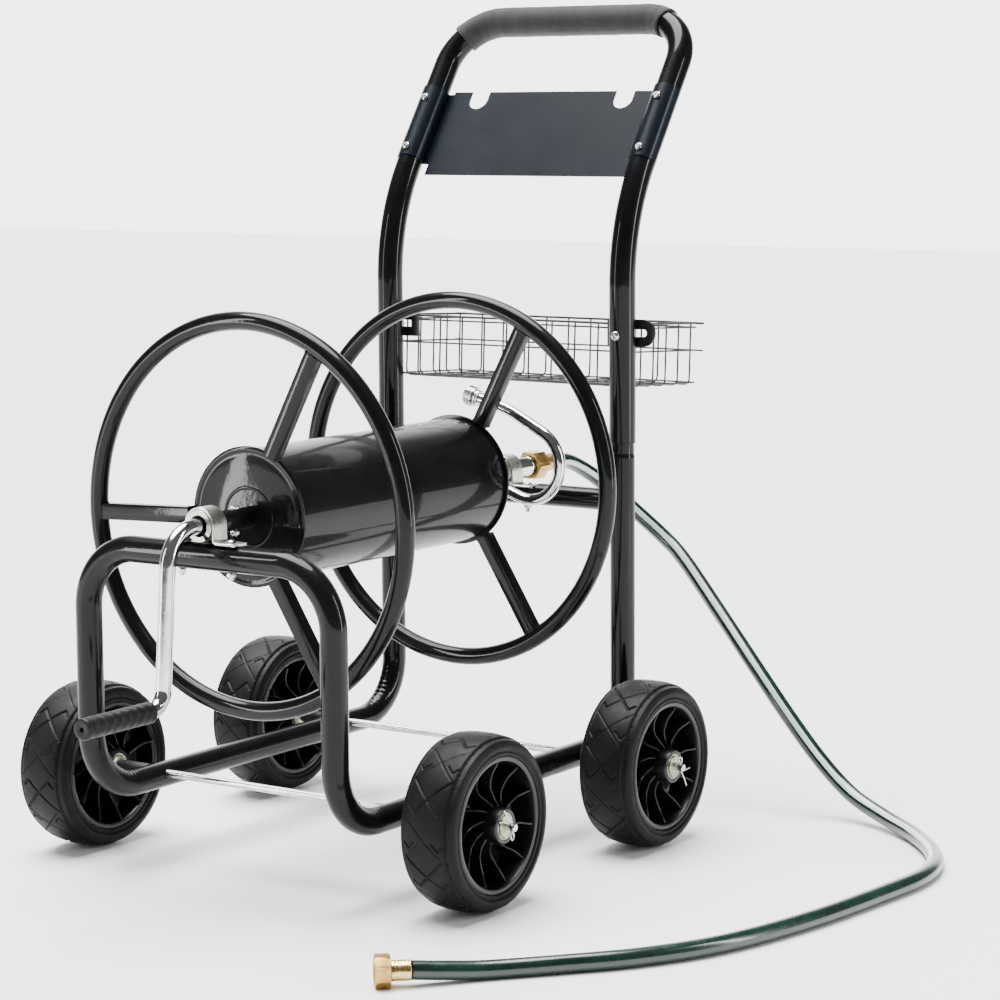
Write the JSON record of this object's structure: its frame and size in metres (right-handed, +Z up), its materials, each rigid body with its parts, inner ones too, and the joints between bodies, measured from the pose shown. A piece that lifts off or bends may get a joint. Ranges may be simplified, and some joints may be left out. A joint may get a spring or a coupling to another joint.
{
  "type": "garden hose reel cart",
  "caption": "Four-wheel cart with a bent tube frame, crank-driven hose drum, wire basket, tool panel and a hose on a swivel inlet.",
  "frame": {"origin": "on the floor, under the middle of the cart's box without the hose", "axes": "+Z up, +Y towards the handle at the rear, +X towards the gooseneck's bend and the hose"},
  "size_m": [1.0362, 1.0795, 1.0547],
  "materials": {
    "frame_paint": "gloss black powder coat",
    "panel_paint": "satin blue-black paint on sheet steel",
    "basket_paint": "black coated wire",
    "chrome": "bright chrome plate",
    "zinc": "zinc plate with a faint green-yellow tint",
    "bright_steel": "bright zinc plated fasteners and rods",
    "brass": "machined brass, slightly dull",
    "foam": "soft closed-cell foam rubber",
    "grip_plastic": "ribbed black plastic",
    "tyre_rubber": "solid black rubber with moulded tread",
    "rim_plastic": "black moulded plastic",
    "spacer_plastic": "black plastic sleeve",
    "hose_rubber": "dark green glossy vinyl with a pale mint stripe",
    "seal_rubber": "black nitrile ring"
  },
  "bodies": {
    "root": {"front_loop": "frame_paint", "left_side_rail": "frame_paint", "right_side_rail": "frame_paint", "crossbar": "frame_paint", "left_upright": "frame_paint", "right_upright": "frame_paint", "handle_tube": "frame_paint", "handle_grip": "foam", "tool_panel": "panel_paint", "panel_screws": "bright_steel", "front_axle": "bright_steel", "rear_axle": "bright_steel", "axle_spacers": "spacer_plastic", "axle_washers": "zinc", "hairpin_clips": "bright_steel", "split_pins": "bright_steel", "bearing_saddles": "zinc", "saddle_bushes": "zinc", "saddle_bolts": "bright_steel", "basket_bolts": "bright_steel", "frame_nuts": "bright_steel", "basket_front": "basket_paint", "basket_back": "basket_paint", "basket_ends": "basket_paint", "basket_floor": "basket_paint", "basket_hangers": "basket_paint", "swivel_body": "chrome", "swivel_seal": "seal_rubber", "inlet_shank": "brass", "hose": "hose_rubber", "hose_end_shank": "brass"},
    "reel": {"drum_shell": "frame_paint", "drum_front_disc": "frame_paint", "drum_rear_disc": "frame_paint", "front_ring": "frame_paint", "rear_ring": "frame_paint", "spokes": "frame_paint", "drive_stub": "frame_paint", "stub_bolt": "bright_steel", "stub_nut": "bright_steel", "crank_arm": "chrome", "water_axle": "zinc", "gooseneck": "chrome", "outlet_fitting": "chrome"},
    "crank_grip": {"crank_grip": "grip_plastic"},
    "inlet_nut": {"inlet_nut": "brass"},
    "hose_end_nut": {"hose_end_nut": "brass"},
    "wheel_front_left": {"tyre_front_left": "tyre_rubber", "rim_front_left": "rim_plastic", "bearing_front_left": "zinc"},
    "wheel_front_right": {"tyre_front_right": "tyre_rubber", "rim_front_right": "rim_plastic", "bearing_front_right": "zinc"},
    "wheel_rear_left": {"tyre_rear_left": "tyre_rubber", "rim_rear_left": "rim_plastic", "bearing_rear_left": "zinc"},
    "wheel_rear_right": {"tyre_rear_right": "tyre_rubber", "rim_rear_right": "rim_plastic", "bearing_rear_right": "zinc"}
  },
  "joints": [
    {"name": "reel_spin", "type": "hinge", "parent": "root", "child": "reel", "pos_m": [0, 0, 0.442], "axis": [0, 1, 0], "continuous": true},
    {"name": "crank_grip_spin", "type": "hinge", "parent": "reel", "child": "crank_grip", "pos_m": [0, -0.45, 0.2385], "axis": [0, 1, 0], "continuous": true},
    {"name": "wheel_front_left_spin", "type": "hinge", "parent": "root", "child": "wheel_front_left", "pos_m": [-0.293, -0.174, 0.104], "axis": [1, 0, 0], "continuous": true},
    {"name": "wheel_front_right_spin", "type": "hinge", "parent": "root", "child": "wheel_front_right", "pos_m": [0.293, -0.174, 0.104], "axis": [1, 0, 0], "continuous": true},
    {"name": "wheel_rear_left_spin", "type": "hinge", "parent": "root", "child": "wheel_rear_left", "pos_m": [-0.293, 0.198, 0.104], "axis": [1, 0, 0], "continuous": true},
    {"name": "wheel_rear_right_spin", "type": "hinge", "parent": "root", "child": "wheel_rear_right", "pos_m": [0.293, 0.198, 0.104], "axis": [1, 0, 0], "continuous": true},
    {"name": "inlet_nut_spin", "type": "hinge", "parent": "root", "child": "inlet_nut", "pos_m": [0, 0.388, 0.442], "axis": [0, 1, 0], "continuous": true},
    {"name": "hose_end_nut_spin", "type": "hinge", "parent": "root", "child": "hose_end_nut", "pos_m": [0.381, -0.487, 0.0175], "axis": [0.7547, 0.6561, 0], "continuous": true}
  ]
}
